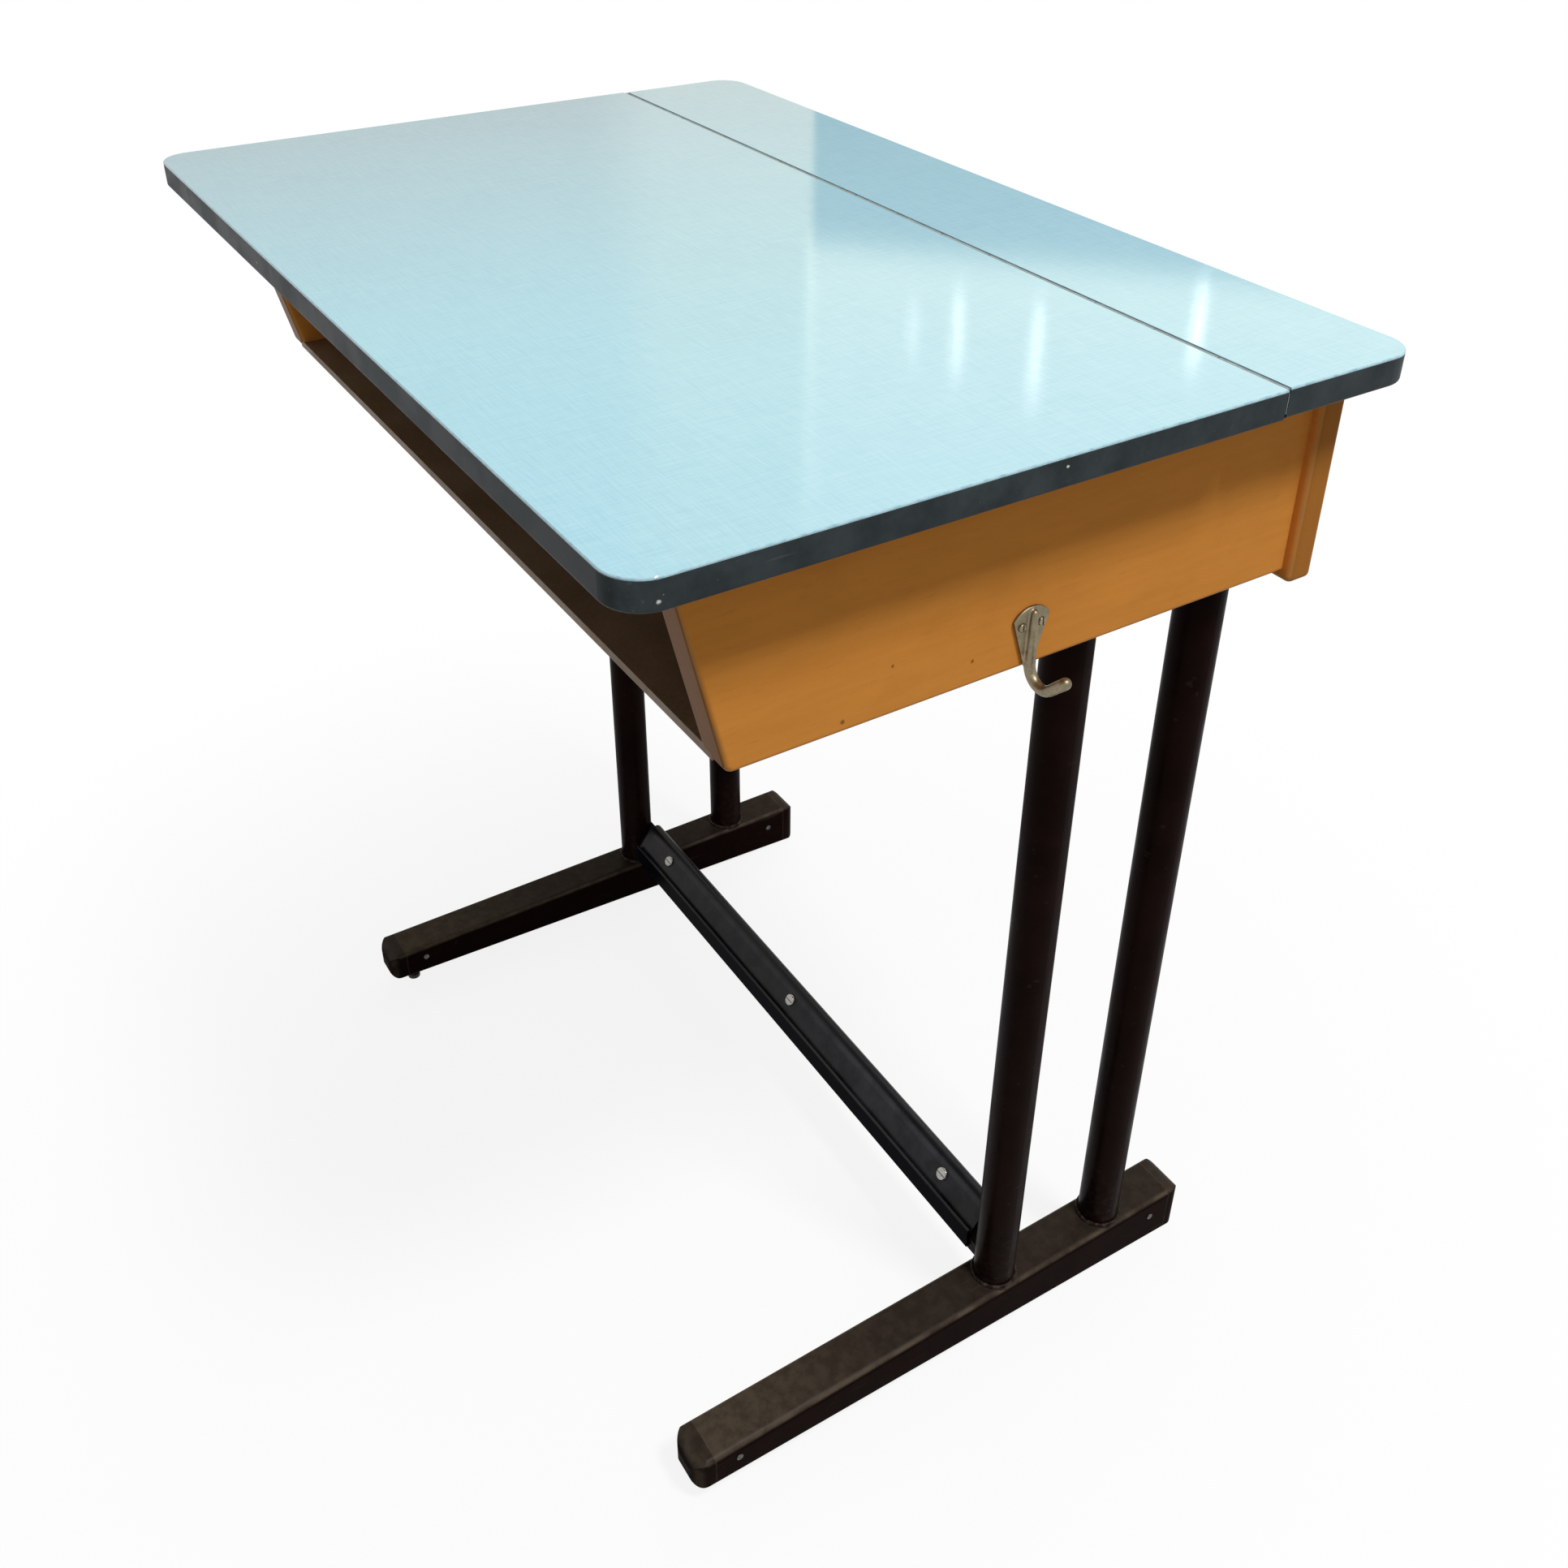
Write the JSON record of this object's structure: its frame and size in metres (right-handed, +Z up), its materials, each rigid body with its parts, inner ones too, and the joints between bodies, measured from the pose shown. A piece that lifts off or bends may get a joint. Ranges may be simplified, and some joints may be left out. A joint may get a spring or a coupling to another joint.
{
  "type": "school desk",
  "caption": "Single school desk with a lift-up writing leaf on a continuous hinge, open wooden book box, tubular side frames, footrest rail and a bag hook.",
  "frame": {"origin": "on the floor, in the middle of the desk's bounding box", "axes": "+Z up, the pupil sits on the -Y side and looks towards +Y, the bag hook is on the +X side"},
  "size_m": [0.7, 0.476, 0.75],
  "materials": {
    "blue_laminate": "glossy high-pressure laminate with a fine linen print",
    "edge_band": "dark satin plastic edging, chipped in places",
    "chipboard": "pressed wood chip board",
    "backing_sheet": "plain brown balancing sheet",
    "hinge_steel": "dull rolled steel",
    "varnished_plywood": "honey-coloured varnished plywood with lighter rounded edges",
    "shelf_board": "thin dark-stained hardboard",
    "bare_softwood": "plain planed softwood",
    "frame_paint": "near-black brown paint, worn on the foot bars",
    "cap_plastic": "black moulded plastic",
    "footrest_paint": "glossy blue-black enamel, worn on the crest",
    "weld_steel": "painted weld bead with the paint rubbed thin",
    "rubber": "black rubber",
    "zinc_steel": "zinc-plated steel",
    "glide_nylon": "natural nylon",
    "hook_metal": "dull bronzed metal with bright worn edges",
    "hook_screw_metal": "dull brass screws"
  },
  "bodies": {
    "desk_frame": {"back_board": "varnished_plywood", "back_board_screws": "zinc_steel", "bag_hook": "hook_metal", "book_shelf": "shelf_board", "cap_rivets": "zinc_steel", "column_welds": "weld_steel", "footrest_rail": "footrest_paint", "footrest_screws": "zinc_steel", "heel_pads": "rubber", "hinge_pin": "hinge_steel", "hinge_strip_flange": "hinge_steel", "hinge_strip_screws": "zinc_steel", "hook_screws": "hook_screw_metal", "leaf_bumpers": "rubber", "left_foot_bar": "frame_paint", "left_front_column": "frame_paint", "left_heel_cap": "cap_plastic", "left_mounting_rail": "frame_paint", "left_rear_column": "frame_paint", "left_shelf_bearer": "bare_softwood", "left_side_panel": "varnished_plywood", "left_strip_cleat": "bare_softwood", "left_toe_cap": "cap_plastic", "leveller_nuts": "zinc_steel", "mounting_screws": "zinc_steel", "rear_strip_backing": "backing_sheet", "rear_strip_core": "chipboard", "rear_strip_edge_band": "edge_band", "rear_strip_laminate": "blue_laminate", "right_foot_bar": "frame_paint", "right_front_column": "frame_paint", "right_heel_cap": "cap_plastic", "right_mounting_rail": "frame_paint", "right_rear_column": "frame_paint", "right_shelf_bearer": "bare_softwood", "right_side_panel": "varnished_plywood", "right_strip_cleat": "bare_softwood", "right_toe_cap": "cap_plastic", "stretcher_bar": "frame_paint", "strip_cleat_screws": "zinc_steel", "toe_levellers": "glide_nylon"},
    "writing_leaf": {"hinge_leaf_flange": "hinge_steel", "hinge_leaf_screws": "zinc_steel", "writing_leaf_backing": "backing_sheet", "writing_leaf_core": "chipboard", "writing_leaf_edge_band": "edge_band", "writing_leaf_laminate": "blue_laminate"}
  },
  "joints": [
    {"name": "leaf_hinge", "type": "hinge", "parent": "desk_frame", "child": "writing_leaf", "pos_m": [0, 0.126, 0.7485], "axis": [-1, 0, 0], "range_deg": [0, 85]}
  ]
}
